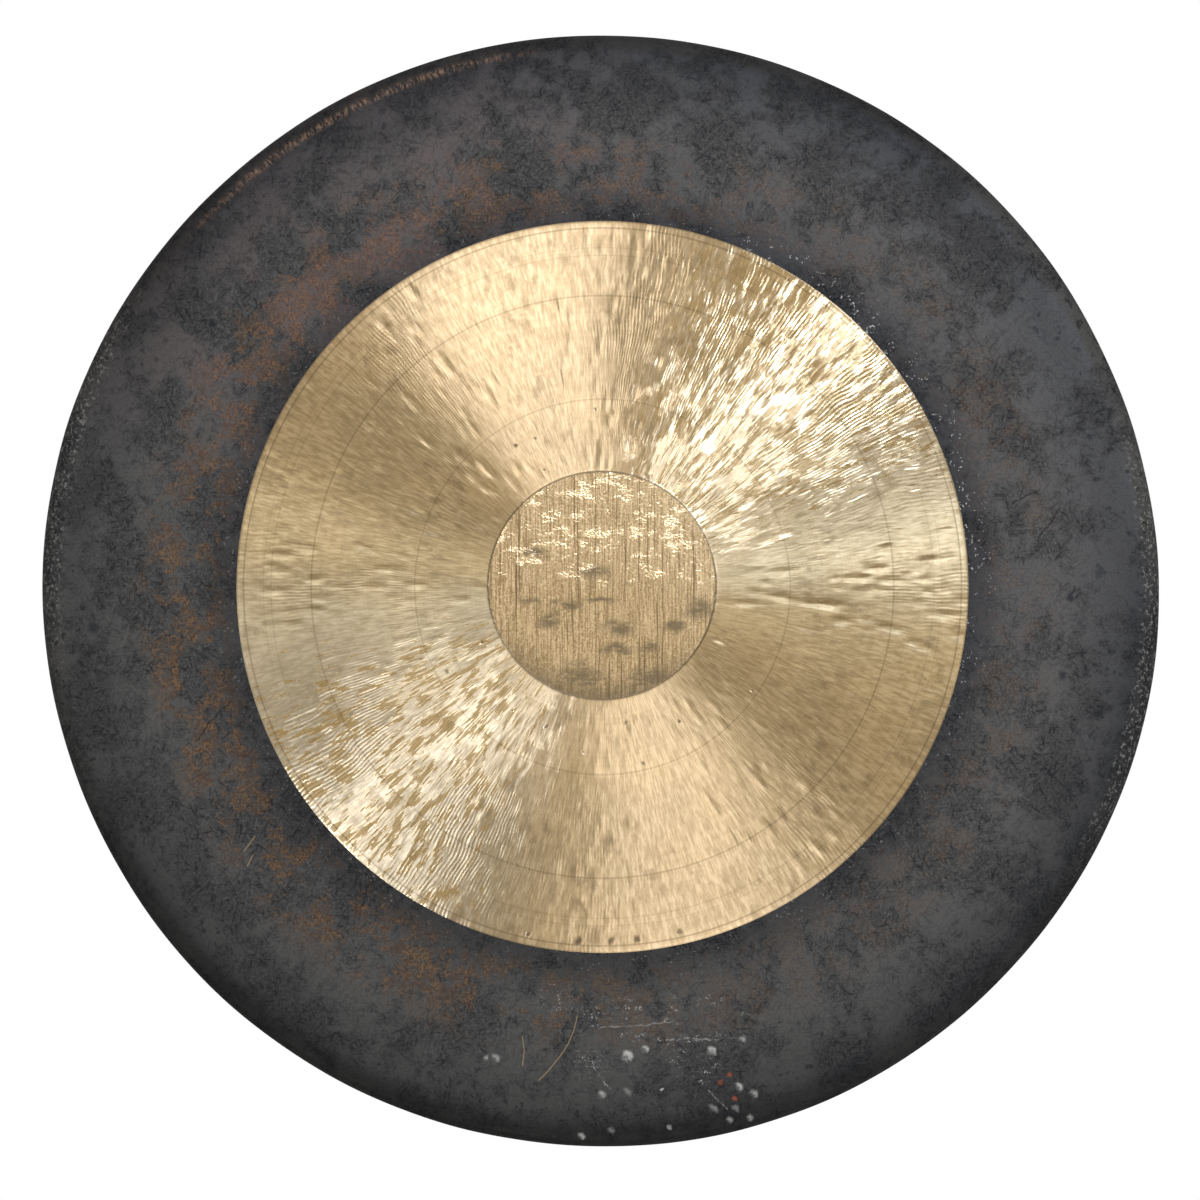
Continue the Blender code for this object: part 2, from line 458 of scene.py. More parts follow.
RED_DOTS = ((70, -264, 1.6, 0.9), (65, -268, 1.9, 0.6), (73, -277, 1.9, 0.9))
DARK_DOTS = (
    (295, 9, 2.5, 0.8), (296, -6, 2.2, 0.7), (290, -11, 3.0, 0.6), (295, -33, 3.2, 0.7),
    (252, -46, 3.4, 0.8), (264, -46, 2.2, 0.7), (256, -4, 2.6, 0.8), (-212, 146, 2.8, 0.9),
    (-252, 12, 4.0, 0.5), (-277, -20, 4.2, 0.7), (-244, 150, 2.6, 0.6), (-120, 262, 2.8, 0.6),
)
# A line goes from place to place.
CRACKS = (
    ((235, -90), (246, -100), (260, -114)),
    ((224, 48), (232, 52), (239, 55)),
    ((239, 30), (245, 37), (250, 45)),
    ((-203, -61), (-212, -70), (-220, -81)),
)
PALE_SCRATCHES = (
    ((0, -238), (23, -237), (39, -235)),
    ((36, -245), (50, -244), (64, -245)),
    ((-6, -253), (-3, -262), (5, -272)),
    ((59, -273), (69, -283)),
)
GOLD_SCRATCHES = (
    ((-13, -232), (-15, -240), (-18, -247), (-21, -252), (-25, -257), (-29, -262), (-34, -267)),
    ((-43, -243), (-42, -251), (-43, -259)),
    ((-189, -134), (-195, -142)),
    ((-190, -144), (-193, -150)),
)
# An oval also has half its width and half its height.
CHIPPED = (
    (-4, -231, 12, 10), (12, -227, 16, 10), (38, -230, 6, 12), (60, -223, 9, 5), (48, -245, 30, 5),
    (42, -254, 7, 11), (57, -260, 8, 14), (-5, -258, 11, 12), (18, -243, 9, 5), (83, -231, 9, 3),
    (-24, -222, 12, 12),
)
SMUDGES = (
    (0, -5, 11, 2), (-20, -7, 9, 3), (-39, -6, 9, 2), (-28, -16, 7, 7), (9, -20, 11, 6), (8, -32, 10, 4),
    (26, -31, 8, 4), (-12, -47, 18, 9), (27, -48, 18, 8), (54, -10, 11, 7), (40, -19, 8, 4), (-36, 21, 10, 3),
    (-6, 10, 10, 5),
)


# Finishes
class Finish:
    """A material being mixed: each call adds nodes and gives back what the last of them puts out."""

    def __init__(self, name, **constants):
        self.material = bpy.data.materials.new(name)
        self.material.use_nodes = True
        self.tree = self.material.node_tree
        self.shader = self.tree.nodes["Principled BSDF"]
        self.dress(**constants)

    def dress(self, **sockets):
        """Gives the shader's sockets numbers, colours or what other nodes put out."""
        for socket, value in sockets.items():
            self.feed(self.shader.inputs[socket.replace("_", " ")], value)
        return self.material

    def feed(self, socket, value):
        if isinstance(value, bpy.types.NodeSocket):
            self.tree.links.new(value, socket)
        else:
            socket.default_value = value

    def node(self, kind, given, output=0, **settings):
        new = self.tree.nodes.new("ShaderNode" + kind)
        for key, value in settings.items():
            setattr(new, key, value)
        for socket, value in given.items():
            self.feed(new.inputs[socket], value)
        return new.outputs[output]

    def maths(self, operation, *values, clamp=False):
        return self.node("Math", dict(enumerate(values)), operation=operation, use_clamp=clamp)

    def vector(self, operation, *values, output="Vector"):
        return self.node("VectorMath", dict(enumerate(values)), output, operation=operation)

    def chain(self, operation, values):
        made = values[0]
        for value in values[1:]:
            made = self.maths(operation, made, value)
        return made

    def times(self, *values):
        return self.chain("MULTIPLY", values)

    def plus(self, *values):
        return self.chain("ADD", values)

    def larger(self, *values):
        return self.chain("MAXIMUM", values)

    def smaller(self, *values):
        return self.chain("MINIMUM", values)

    def rest_of(self, share):
        return self.maths("SUBTRACT", 1.0, share)

    def between(self, value, low, high, at_low=0.0, at_high=1.0):
        """A smooth climb from at_low to at_high as the value goes from low to high."""
        given = {0: value, 1: low, 2: high, 3: at_low, 4: at_high}
        return self.node("MapRange", given, interpolation_type="SMOOTHSTEP")

    def noise(self, vector, size, detail=2.0, roughness=0.5, distortion=0.0, output=0):
        given = {"Vector": vector, "Scale": 1 / size, "Detail": detail}
        given.update({"Roughness": roughness, "Distortion": distortion})
        return self.node("TexNoise", given, output)

    def stretched(self, place, across, up, **settings):
        """Noise whose grains are that far across and that far up the face."""
        return self.noise(self.vector("MULTIPLY", place, (1 / across, 0, 1 / up)), 1.0, **settings)

    def radial(self, across, along, at_radius=0.13, **settings):
        """Noise drawn out along the radius, in grains that are that wide at at_radius, and that long."""
        round_it = self.vector("MULTIPLY", self.direction, (at_radius / across,) * 3)
        outward = self.node("CombineXYZ", {1: self.maths("DIVIDE", self.radius, along)})
        return self.noise(self.vector("ADD", round_it, outward), 1.0, **settings)

    def colour(self, share, low, high, blend="MIX"):
        low = (*low, 1) if isinstance(low, tuple) else low
        high = (*high, 1) if isinstance(high, tuple) else high
        return self.node("Mix", {0: share, 6: low, 7: high}, 2, data_type="RGBA", blend_type=blend)

    def bump(self, height_mm):
        """The surface's normal with a height, in millimetres, laid over it."""
        return self.node("Bump", {"Strength": 1.0, "Distance": 0.001, "Height": height_mm})

    def lay_out(self, offset=(0, 0)):
        """Finds the place on the plate, round an axis that is offset right and up, and its front."""
        self.at = self.node("TexCoord", {}, "Object")
        backward = self.node("SeparateXYZ", {0: self.at.node.outputs["Normal"]}, "Y")
        self.front = self.between(backward, -0.05, -0.30)
        axis = (offset[0], 0, AXIS_Z + offset[1])
        away = self.vector("MULTIPLY", self.vector("SUBTRACT", self.at, axis), (1, 0, 1))
        self.flat = self.vector("MULTIPLY", self.vector("SUBTRACT", self.at, (0, 0, AXIS_Z)), (1, 0, 1))
        self.ragged = self.shaken(0.0030, 0.0028)
        self.loose = self.shaken(0.0090, 0.0110)
        self.direction = self.vector("NORMALIZE", away)
        self.radius = self.vector("LENGTH", away, output="Value")
        right = self.node("SeparateXYZ", {0: self.direction}, "X")
        self.clock = self.maths("ARCTAN2", right, right.node.outputs["Z"])

    def shaken(self, size, reach):
        """The place moved about by noise, so that what is drawn there gets a ragged outline."""
        off = self.vector("SUBTRACT", self.noise(self.at, size, output="Color"), (0.5, 0.5, 0.5))
        return self.vector("ADD", self.flat, self.vector("MULTIPLY", off, (reach, 0, reach)))

    def band(self, radius, width):
        """1 on a circle of that radius, and 0 half a width away from it."""
        away = self.maths("ABSOLUTE", self.maths("SUBTRACT", self.radius, radius))
        return self.between(away, 0.0, width / 2, 1.0, 0.0)

    def at_clock(self, middle, width):
        """1 at a place on the clock, fading to 0 a width away, in degrees."""
        angle = math.radians(middle)
        toward = (math.sin(angle), 0, math.cos(angle))
        facing = self.vector("DOT_PRODUCT", self.direction, toward, output="Value")
        return self.between(facing, math.cos(math.radians(width)), 1.0)

    def dots(self, places, moved=0.0):
        """The strength of each dot (right, up, radius, strength) within it, and 0 outside."""
        marks = 0.0
        for right, up, radius, strength in places:
            middle = (right / 1000 - moved, 0, up / 1000 - moved)
            away = self.vector("DISTANCE", self.ragged, middle, output="Value")
            mark = self.between(away, radius * 0.0003, radius * 0.0011, strength, 0.0)
            marks = self.larger(marks, mark)
        return self.times(marks, self.front)

    def smudges(self, places):
        """1 in the middle of each oval (right, up, half width, half height), fading to 0 at its edge."""
        marks = 0.0
        for right, up, half_width, half_height in places:
            away = self.vector("SUBTRACT", self.loose, (right / 1000, 0, up / 1000))
            away = self.vector("MULTIPLY", away, (1000 / half_width, 0, 1000 / half_height))
            away = self.vector("LENGTH", away, output="Value")
            marks = self.larger(marks, self.between(away, 0.1, 1.3, 1.0, 0.0))
        return self.times(marks, self.front)

    def scratches(self, lines, width, clean=False):
        """1 along each line of places, and 0 half a width away. A clean one has a smooth outline."""
        marks = 0.0
        here = self.flat if clean else self.ragged
        for places in lines:
            points = [Vector((right / 1000, 0, up / 1000)) for right, up in places]
            for start, end in zip(points, points[1:]):
                along = end - start
                from_start = self.vector("SUBTRACT", here, start)
                part = along / along.length_squared
                share = self.vector("DOT_PRODUCT", from_start, part, output="Value")
                share = self.maths("MULTIPLY", share, 1.0, clamp=True)
                foot = self.vector("MULTIPLY", share, along)
                away = self.vector("DISTANCE", from_start, foot, output="Value")
                marks = self.larger(marks, self.between(away, 0.0, width / 2, 1.0, 0.0))
        return self.times(marks, self.front)


# The lathed ring's colours
BRONZE_DARK = (0.345, 0.245, 0.122)
BRONZE_LIGHT = (0.41, 0.285, 0.140)
GROOVE_SHADE = (0.27, 0.185, 0.085)
HATCH_DARK = (0.235, 0.160, 0.076)
HATCH_LIGHT = (0.50, 0.37, 0.20)
TARNISH = (0.17, 0.115, 0.055)
PAINTED_SHADE_BRONZE = (0.17, 0.120, 0.060)
GOLDEN_BRONZE = (0.44, 0.285, 0.105)
LATHE_LINE = (0.12, 0.08, 0.035)
PIT_SHADE = (0.085, 0.055, 0.028)
STEP_PAINTED_SHADE = (0.170, 0.115, 0.055)
LATHE_LINES = (  # radius, width and darkness
    (0.1024, 0.0016, 0.32),
    (0.1589, 0.0018, 0.45),
    (0.1808, 0.0010, 0.25),
    (0.1850, 0.0008, 0.20),
    (0.1958, 0.0016, 0.55),
)


def hammered_flat(mix, upper, lower):
    """1 where the hammer has flattened the grooves: there the metal mirrors only what is before it."""
    clumps = mix.radial(0.0050, 0.015, detail=2)
    dabs = mix.radial(0.0012, 0.0100, detail=3, roughness=0.6)
    dabs = mix.plus(mix.times(clumps, 0.42), mix.times(dabs, 0.58))
    far_out = mix.times(mix.at_clock(40, 24), mix.front, mix.between(mix.radius, 0.115, 0.180, 0.0, 0.045))
    broken = mix.plus(dabs, mix.times(upper, 0.256), mix.times(lower, 0.246), far_out)
    return mix.between(broken, 0.72, 0.79)


def shaded_lathe_steps(mix):
    """Strong along the ring's two edges, where the lathe's cut steps up to the spot and the border. It masks
    painted shade there, which keeps the steps' slopes from shining, and a rougher finish.
    """
    from_spot = mix.vector("DISTANCE", mix.flat, (SPOT_OFFSET[0], 0, SPOT_OFFSET[1]), output="Value")
    inner = mix.between(from_spot, SPOT_RADIUS + 0.0006, SPOT_RADIUS + 0.0015, 0.85, 0.0)
    outer = mix.between(mix.radius, LATHED_RADIUS - 0.0011, LATHED_RADIUS - 0.0004, 0.0, 0.6)
    return mix.larger(inner, outer)


def ring_relief(mix, groove, upper, lower, pits):
    """Turned grooves, tool chatter in patches, hammer flecks and pits, as a height in millimetres."""
    busy = mix.maths("ADD", upper, lower, clamp=True)
    grooves = mix.noise(groove, 0.0012, detail=3, roughness=0.7)
    bend = mix.radial(0.05, 0.05, detail=2)
    chatter = mix.maths("SINE", mix.plus(mix.times(mix.clock, 560.0), mix.times(bend, 50.0)))
    patches = mix.between(mix.noise(mix.at, 0.018, detail=3), 0.46, 0.54)
    flecks = mix.radial(0.0030, 0.009, detail=2, roughness=0.6)
    fine_flecks = mix.radial(0.0011, 0.006, detail=1)
    return mix.plus(
        mix.times(grooves, 0.030),
        mix.times(chatter, mix.plus(0.2, patches), mix.plus(0.006, mix.times(busy, 0.012))),
        mix.times(flecks, mix.plus(0.04, mix.times(upper, 0.09), mix.times(lower, 0.05))),
        mix.times(fine_flecks, mix.plus(0.012, mix.times(busy, 0.045))),
        mix.times(pits, -0.15),
    )


def ring_shade(mix, groove, lower, flattened, pits, steps):
    """Bronze in many tones: grooved, hatched, tarnished and golden where flat, with painted shade at three
    places on the clock and along the lathe's steps.
    """
    tone = mix.noise(mix.at, 0.045, detail=3)
    shade = mix.colour(mix.between(tone, 0.38, 0.62), BRONZE_DARK, BRONZE_LIGHT)
    turned_tone = mix.noise(groove, 0.0026, detail=4, roughness=0.75)
    shade = mix.colour(mix.between(turned_tone, 0.35, 0.65, 0.0, 0.34), shade, GROOVE_SHADE)
    hatch = mix.radial(0.0013, 0.008, detail=2, roughness=0.65)
    shade = mix.colour(mix.between(hatch, 0.50, 0.62, 0.0, 0.50), shade, HATCH_DARK)
    shade = mix.colour(mix.between(hatch, 0.48, 0.38, 0.0, 0.45), shade, HATCH_LIGHT)
    tarnish = mix.radial(0.0055, 0.011, detail=4, roughness=0.65)
    tarnish_patch = mix.between(mix.noise(mix.at, 0.034, detail=2), 0.44, 0.60)
    share = mix.times(mix.between(tarnish, 0.50, 0.66), tarnish_patch, 0.55)
    shade = mix.colour(share, shade, TARNISH)
    # painted shade at three places on the clock, where the lamps shine on the ring
    dull = mix.plus(mix.at_clock(250, 26), mix.at_clock(207, 20), mix.times(mix.at_clock(66, 18), 0.9))
    dull = mix.times(dull, mix.between(mix.radius, 0.095, 0.150), 0.38)
    shade = mix.colour(dull, shade, PAINTED_SHADE_BRONZE)
    golden = mix.times(flattened, mix.plus(0.26, mix.times(lower, 0.12)))
    shade = mix.colour(golden, shade, GOLDEN_BRONZE)
    for radius, width, darkness in LATHE_LINES:
        shade = mix.colour(mix.times(mix.band(radius, width), darkness), shade, LATHE_LINE)
    shade = mix.colour(mix.times(pits, 0.9), shade, PIT_SHADE)
    # painted shade along the lathe's steps
    return mix.colour(steps, shade, STEP_PAINTED_SHADE)


def lathed_bronze():
    """The ring that the lathe cleaned: fine turned grooves, radial tool chatter and hammer marks."""
    mix = Finish("lathed_bronze", Metallic=1.0, Anisotropic=1.0)
    mix.lay_out(RING_OFFSET)
    upper = mix.times(mix.at_clock(42, 46), mix.front)
    lower = mix.times(mix.at_clock(229, 42), mix.front)
    groove = mix.node("CombineXYZ", {0: mix.radius})
    pits = mix.dots(PITS)
    flattened = hammered_flat(mix, upper, lower)
    steps = shaded_lathe_steps(mix)
    height = ring_relief(mix, groove, upper, lower, pits)
    shade = ring_shade(mix, groove, lower, flattened, pits, steps)
    cut_roughness = mix.plus(0.38, mix.times(lower, 0.14))
    roughness = mix.between(flattened, 0.0, 1.0, cut_roughness, 0.15)
    roughness = mix.larger(roughness, mix.times(steps, 0.7))
    return mix.dress(Base_Color=shade, Roughness=roughness, Normal=mix.bump(height), Tangent=mix.direction)


# The scraped spot's colours
SCRAPED_DARK = (0.27, 0.170, 0.072)
SCRAPED_LIGHT = (0.49, 0.335, 0.160)
GRAIN_DARK = (0.215, 0.132, 0.052)
GRAIN_LIGHT = (0.62, 0.46, 0.245)
DEEP_SCRAPE = (0.12, 0.070, 0.030)
STAIN = (0.135, 0.096, 0.050)


def spot_stain(mix):
    """How stained the spot is: in smudges, in streaks and along its foot."""
    streaks = mix.stretched(mix.at, 0.009, 0.0028, detail=5, roughness=0.75)
    stain = mix.times(mix.smudges(SMUDGES), mix.between(streaks, 0.34, 0.56, 0.25, 1.2))
    stain = mix.larger(stain, mix.between(streaks, 0.56, 0.68, 0.0, 0.55))
    foot = mix.times(mix.between(mix.radius, 0.047, 0.062), mix.at_clock(185, 75), mix.plus(streaks, 0.35))
    return mix.smaller(mix.larger(stain, foot), 1.0)


def scraped_bronze():
    """The spot in the middle: tan, scraped up and down, with glints above and stains below."""
    mix = Finish("scraped_bronze", Metallic=1.0, Anisotropic=0.6, Roughness=0.30)
    mix.lay_out(SPOT_OFFSET)
    sway = mix.vector("MULTIPLY", mix.noise(mix.at, 1 / 30, output="Color"), (0.002, 0, 0))
    place = mix.vector("ADD", mix.at, sway)
    lines = mix.stretched(place, 0.0010, 0.020, detail=3, roughness=0.7)
    deep = mix.stretched(place, 0.0014, 0.080, detail=2)
    grain = mix.noise(mix.at, 0.0012, detail=3, roughness=0.75)
    shade = mix.colour(mix.between(lines, 0.38, 0.62), SCRAPED_DARK, SCRAPED_LIGHT)
    shade = mix.colour(mix.between(grain, 0.53, 0.64, 0.0, 0.75), shade, GRAIN_DARK)
    shade = mix.colour(mix.between(grain, 0.47, 0.36, 0.0, 0.60), shade, GRAIN_LIGHT)
    shade = mix.colour(mix.between(deep, 0.58, 0.65, 0.0, 0.80), shade, DEEP_SCRAPE)
    shade = mix.colour(mix.times(spot_stain(mix), 0.85), shade, STAIN)
    upward = mix.node("SeparateXYZ", {0: mix.at}, "Z")
    high = mix.between(upward, AXIS_Z - 0.010, AXIS_Z + 0.022)
    sparks = mix.stretched(mix.at, 0.0017, 0.0011, detail=2, roughness=0.7)
    sparks = mix.maths("SUBTRACT", sparks, 0.5)
    raised = mix.stretched(mix.at, 0.017, 0.007, detail=4, roughness=0.75)
    raised = mix.between(raised, 0.525, 0.61)
    height = mix.plus(
        mix.times(lines, 0.05),
        mix.times(grain, 0.06),
        mix.times(sparks, mix.plus(0.03, mix.times(high, mix.plus(0.10, mix.times(raised, 0.60))))),
    )
    sideways = mix.node("CombineXYZ", {0: 1.0})
    return mix.dress(Base_Color=shade, Normal=mix.bump(height), Tangent=sideways)


# The oxide skin's colours
SKIN_SCUFFED = (0.052, 0.0508, 0.0490)
SKIN_SMOOTH = (0.081, 0.0785, 0.0748)
PORE = (0.018, 0.018, 0.0175)
SPECK = (0.13, 0.13, 0.125)
DARK_STROKE = (0.0105, 0.0102, 0.0098)
PALE_STROKE = (0.142, 0.14, 0.134)
RUST_LIGHT = (0.180, 0.104, 0.048)
RUST_DARK = (0.056, 0.037, 0.025)
RUST_OLD = (0.052, 0.036, 0.027)
PINK_TINGE = (1.38, 1.12, 1.10)
BLOT = (0.014, 0.014, 0.014)
CRACK = (0.009, 0.009, 0.009)
BARE_METAL = (0.41, 0.41, 0.40)
WORN_AND_LIT_EDGE = (0.27, 0.27, 0.26)
COPPER_AND_LIT_EDGE = (0.30, 0.185, 0.120)
PALE_SCRATCH = (0.34, 0.34, 0.34)
GOLD_SCRATCH = (0.34, 0.235, 0.12)
RED_DOT = (0.24, 0.065, 0.03)
PEEN_DENT = (0.40, 0.40, 0.39)
PEEN_LIT = (0.56, 0.56, 0.54)
STROKE_ANGLES = (12, 47, 84, 121, 158)  # degrees


def scuffed(mix, smooth, grain):
    """The skin's grey, with pores, specks and strokes where it isn't smooth, and its dark strokes."""
    rough = mix.rest_of(mix.times(smooth, 0.65))
    shade = mix.colour(smooth, SKIN_SCUFFED, SKIN_SMOOTH)
    shade = mix.colour(mix.times(mix.between(grain, 0.50, 0.64), rough, 0.66), shade, PORE)
    shade = mix.colour(mix.times(mix.between(grain, 0.46, 0.36), rough, 0.32), shade, SPECK)
    dark_strokes, pale_strokes = [], []
    for angle in STROKE_ANGLES:
        given = {"Vector": mix.at, "Rotation": (0, math.radians(angle), 0)}
        turned_at = mix.node("Mapping", given, vector_type="TEXTURE")
        long_and_thin = mix.vector("MULTIPLY", turned_at, (1 / 0.0012, 1 / 0.02, 1 / 0.0085))
        strokes = mix.noise(long_and_thin, 1.0, detail=1, distortion=0.2)
        dark_strokes.append(mix.between(strokes, 0.63, 0.70))
        pale_strokes.append(mix.between(strokes, 0.35, 0.27))
    dark = mix.times(mix.smaller(mix.plus(*dark_strokes), 1.0), rough, 0.68)
    pale = mix.times(mix.smaller(mix.plus(*pale_strokes), 1.0), rough, 0.26)
    shade = mix.colour(dark, shade, DARK_STROKE)
    return mix.colour(pale, shade, PALE_STROKE), dark


def rusted(mix, shade, broad, middling, grain):
    """Rust in patches round the ring, most of it at the left, and a pink tinge at the upper left."""
    patches = mix.between(mix.noise(mix.at, 0.017, detail=6, roughness=0.68), 0.475, 0.545)
    eaten = mix.between(mix.noise(mix.at, 0.0050, detail=4, roughness=0.7), 0.40, 0.54, 0.25, 1.0)
    rust_ring = mix.times(mix.between(mix.radius, 0.199, 0.214), mix.between(mix.radius, 0.260, 0.236))
    where = mix.plus(0.28, mix.times(mix.at_clock(242, 85), 0.66), mix.times(mix.at_clock(335, 55), 0.34))
    rust = mix.times(patches, eaten, rust_ring, where)
    rust_shade = mix.colour(mix.between(grain, 0.40, 0.60), RUST_LIGHT, RUST_DARK)
    rust_shade = mix.colour(mix.between(middling, 0.44, 0.60, 0.0, 0.70), rust_shade, RUST_OLD)
    shade = mix.colour(mix.smaller(rust, 0.92), shade, rust_shade)
    pink = mix.times(mix.at_clock(325, 45), mix.between(broad, 0.4, 0.6), 0.6)
    return mix.colour(pink, shade, PINK_TINGE, blend="MULTIPLY")


def painted_shade_and_blots(mix, shade):
    """The skin is darker next to the ring; painted shade darkens it more there at the right, out at the
    shoulder and most of all at the plate's foot.
    """
    outer = mix.between(mix.radius, 0.246, 0.290)
    brink = mix.between(mix.radius, 0.283, 0.297)
    foot, upper_right, left = mix.at_clock(195, 70), mix.at_clock(64, 32), mix.at_clock(272, 35)
    # painted shade towards the shoulder, heaviest at the foot and lightest at the upper right and the left
    outer_painted_shade = mix.plus(0.42, mix.times(foot, -0.08), mix.times(upper_right, -0.10), mix.times(left, -0.12))
    brink_painted_shade = mix.plus(0.38, mix.times(foot, 0.20), mix.times(upper_right, -0.50), mix.times(left, -0.42))
    for dim in (
        mix.between(mix.radius, 0.199, 0.226, 0.46, 0.0),
        mix.times(mix.at_clock(50, 90), mix.between(mix.radius, 0.201, 0.228, 0.20, 0.0)),
        mix.times(foot, 0.06),
        mix.times(outer, outer_painted_shade),
        mix.times(brink, brink_painted_shade),
    ):
        shade = mix.vector("MULTIPLY", shade, mix.rest_of(dim))
    blots = mix.times(mix.between(mix.noise(mix.at, 0.0055, detail=3), 0.60, 0.68), outer, 0.8)
    shade = mix.colour(mix.larger(blots, mix.dots(DARK_DOTS)), shade, BLOT)
    return mix.colour(mix.times(mix.scratches(CRACKS, 0.0012), 0.85), shade, CRACK)


def worn(mix, shade):
    """Bare specks by the ring and in the chipped places, and pale flecks and a coppery edge on the shoulder,
    partly wear and partly painted highlight.
    """
    edge_bare = mix.plus(0.25, mix.at_clock(60, 60))
    edge_bare = mix.times(mix.between(mix.radius, 0.222, 0.204), edge_bare, mix.front)
    sparse = mix.between(mix.noise(mix.at, 0.0016, detail=2, roughness=0.7), 0.61, 0.66)
    gathered = mix.between(mix.noise(mix.at, 0.007, detail=2), 0.50, 0.58)
    chips = mix.between(mix.noise(mix.at, 0.0014, detail=3, roughness=0.85), 0.55, 0.62)
    torn = mix.stretched(mix.at, 0.006, 0.0028, detail=3, roughness=0.7)
    chips = mix.times(chips, mix.between(torn, 0.49, 0.57), mix.smudges(CHIPPED))
    bare = mix.larger(mix.times(sparse, gathered, edge_bare), chips)
    shade = mix.colour(mix.smaller(bare, 0.9), shade, BARE_METAL)
    # pale flecks on the shoulder at the left and the right: partly wear, partly a painted highlight
    worn_and_lit_place = mix.larger(mix.at_clock(95, 30), mix.at_clock(282, 25))
    worn_and_lit_noise = mix.between(mix.noise(mix.at, 0.0022, detail=4, roughness=0.75), 0.52, 0.64)
    shoulder = mix.between(mix.radius, 0.2925, 0.2985)
    shade = mix.colour(mix.times(shoulder, worn_and_lit_noise, worn_and_lit_place, mix.front, 0.60), shade, WORN_AND_LIT_EDGE)
    # coppery edge at the upper left of the shoulder: partly worn copper, partly a painted highlight
    copper_and_highlight_noise = mix.between(mix.radial(0.0016, 0.005, 0.297, detail=4, roughness=0.8), 0.44, 0.64)
    copper_and_highlight = mix.times(mix.band(0.2965, 0.007), mix.at_clock(332, 24), copper_and_highlight_noise, mix.front)
    return mix.colour(mix.times(copper_and_highlight, 0.75), shade, COPPER_AND_LIT_EDGE)


def marked(mix, shade, grain, peens):
    """Scratches, red dots and peens. A peen's dent is pale, and palest along its upper right."""
    broken = mix.between(mix.noise(mix.at, 0.0030, detail=2, roughness=0.7), 0.40, 0.56, 0.15, 1.0)
    pale_line = mix.times(mix.scratches(PALE_SCRATCHES, 0.0012), broken, 0.60)
    shade = mix.colour(pale_line, shade, PALE_SCRATCH)
    gold_line = mix.times(mix.scratches(GOLD_SCRATCHES, 0.0009, clean=True), 0.8)
    shade = mix.colour(gold_line, shade, GOLD_SCRATCH)
    shade = mix.colour(mix.dots(RED_DOTS), shade, RED_DOT)
    pale = mix.times(peens, peens, mix.between(grain, 0.60, 0.40, 0.12, 0.55))
    shade = mix.colour(pale, shade, PEEN_DENT)
    lit = mix.maths("SUBTRACT", peens, mix.dots(PEENS, moved=0.0013), clamp=True)
    lit = mix.times(lit, 1.15, mix.between(grain, 0.66, 0.46, 0.55, 0.95))
    return mix.colour(lit, shade, PEEN_LIT)


def oxide_skin():
    """The dark skin of the border and the rim, scuffed and flecked with rust, with painted shade towards the
    shoulder and the foot, and worn and with painted highlights at the shoulder.
    """
    mix = Finish("oxide_skin", Specular_IOR_Level=0.06)
    mix.lay_out()
    broad = mix.noise(mix.at, 0.034, detail=3, roughness=0.6)
    middling = mix.noise(mix.at, 0.009, detail=5, roughness=0.7)
    grain = mix.noise(mix.at, 0.0014, detail=3, roughness=0.8)
    smooth = mix.between(mix.plus(mix.times(broad, 0.6), mix.times(middling, 0.4)), 0.43, 0.57)
    peens = mix.dots(PEENS)
    shade, dark_strokes = scuffed(mix, smooth, grain)
    shade = rusted(mix, shade, broad, middling, grain)
    shade = painted_shade_and_blots(mix, shade)
    shade = worn(mix, shade)
    shade = marked(mix, shade, grain, peens)
    roughness = mix.between(smooth, 0.0, 1.0, 0.75, 0.55)
    roughness = mix.larger(roughness, mix.between(mix.radius, 0.296, 0.302, 0.0, 1.0))
    height = mix.plus(
        mix.times(grain, 0.10),
        mix.times(middling, 0.30),
        mix.times(dark_strokes, -0.03),
        mix.times(peens, -0.50),
    )
    return mix.dress(Base_Color=shade, Roughness=roughness, Normal=mix.bump(height))


# The gong
def finish_piece(piece, *materials):
    for material in materials:
        piece.data.materials.append(material)
    pick(piece)
    bpy.ops.object.shade_smooth_by_angle(angle=math.radians(35))
    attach(piece, "root")
    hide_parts("gong_plate")
    bpy.ops.object.select_all(action="DESELECT")


skin = oxide_skin()
lathed = lathed_bronze()
scraped = scraped_bronze()

border = turned("dark_border", border_section(), BORDER_TURNS)
drill_cord_holes(border)
hammer(border, border_blows())
finish_piece(border, skin)

ring = turned("lathed_ring", ring_section(), RING_TURNS)
hammer(ring, ring_blows())
finish_piece(ring, lathed)

spot = turned("scraped_spot", spot_section(), SPOT_TURNS)
hammer(spot)
finish_piece(spot, scraped, skin)
for face in spot.data.polygons:
    face.material_index = 0 if face.normal.y < 0 else 1


# Floor, world, lamps and camera
FLOOR_SIZE = 12
FLOOR_DROP = 1.2  # from the plate's lowest place
FLOOR_GLOW = 0.55
WORLD_LIGHT = 0.5  # the world's strength as light, while the world that is seen is plain white
SENSOR_WIDTH = 36
CAMERA_DISTANCE = 4.0
VIEW_WIDTH = 0.6574  # how much the picture takes in at that distance
AIM = (-0.00065, -0.008, AXIS_Z - 0.00492)  # the middle of the picture, just off the gong's axis
COOL = (0.68, 0.75, 1.0)
BLUE = (0.48, 0.62, 1.0)
SKY_BLUE = (0.50, 0.66, 1.0)
PALE_BLUE = (0.75, 0.85, 1.0)
WARM = (1.0, 0.99, 0.96)


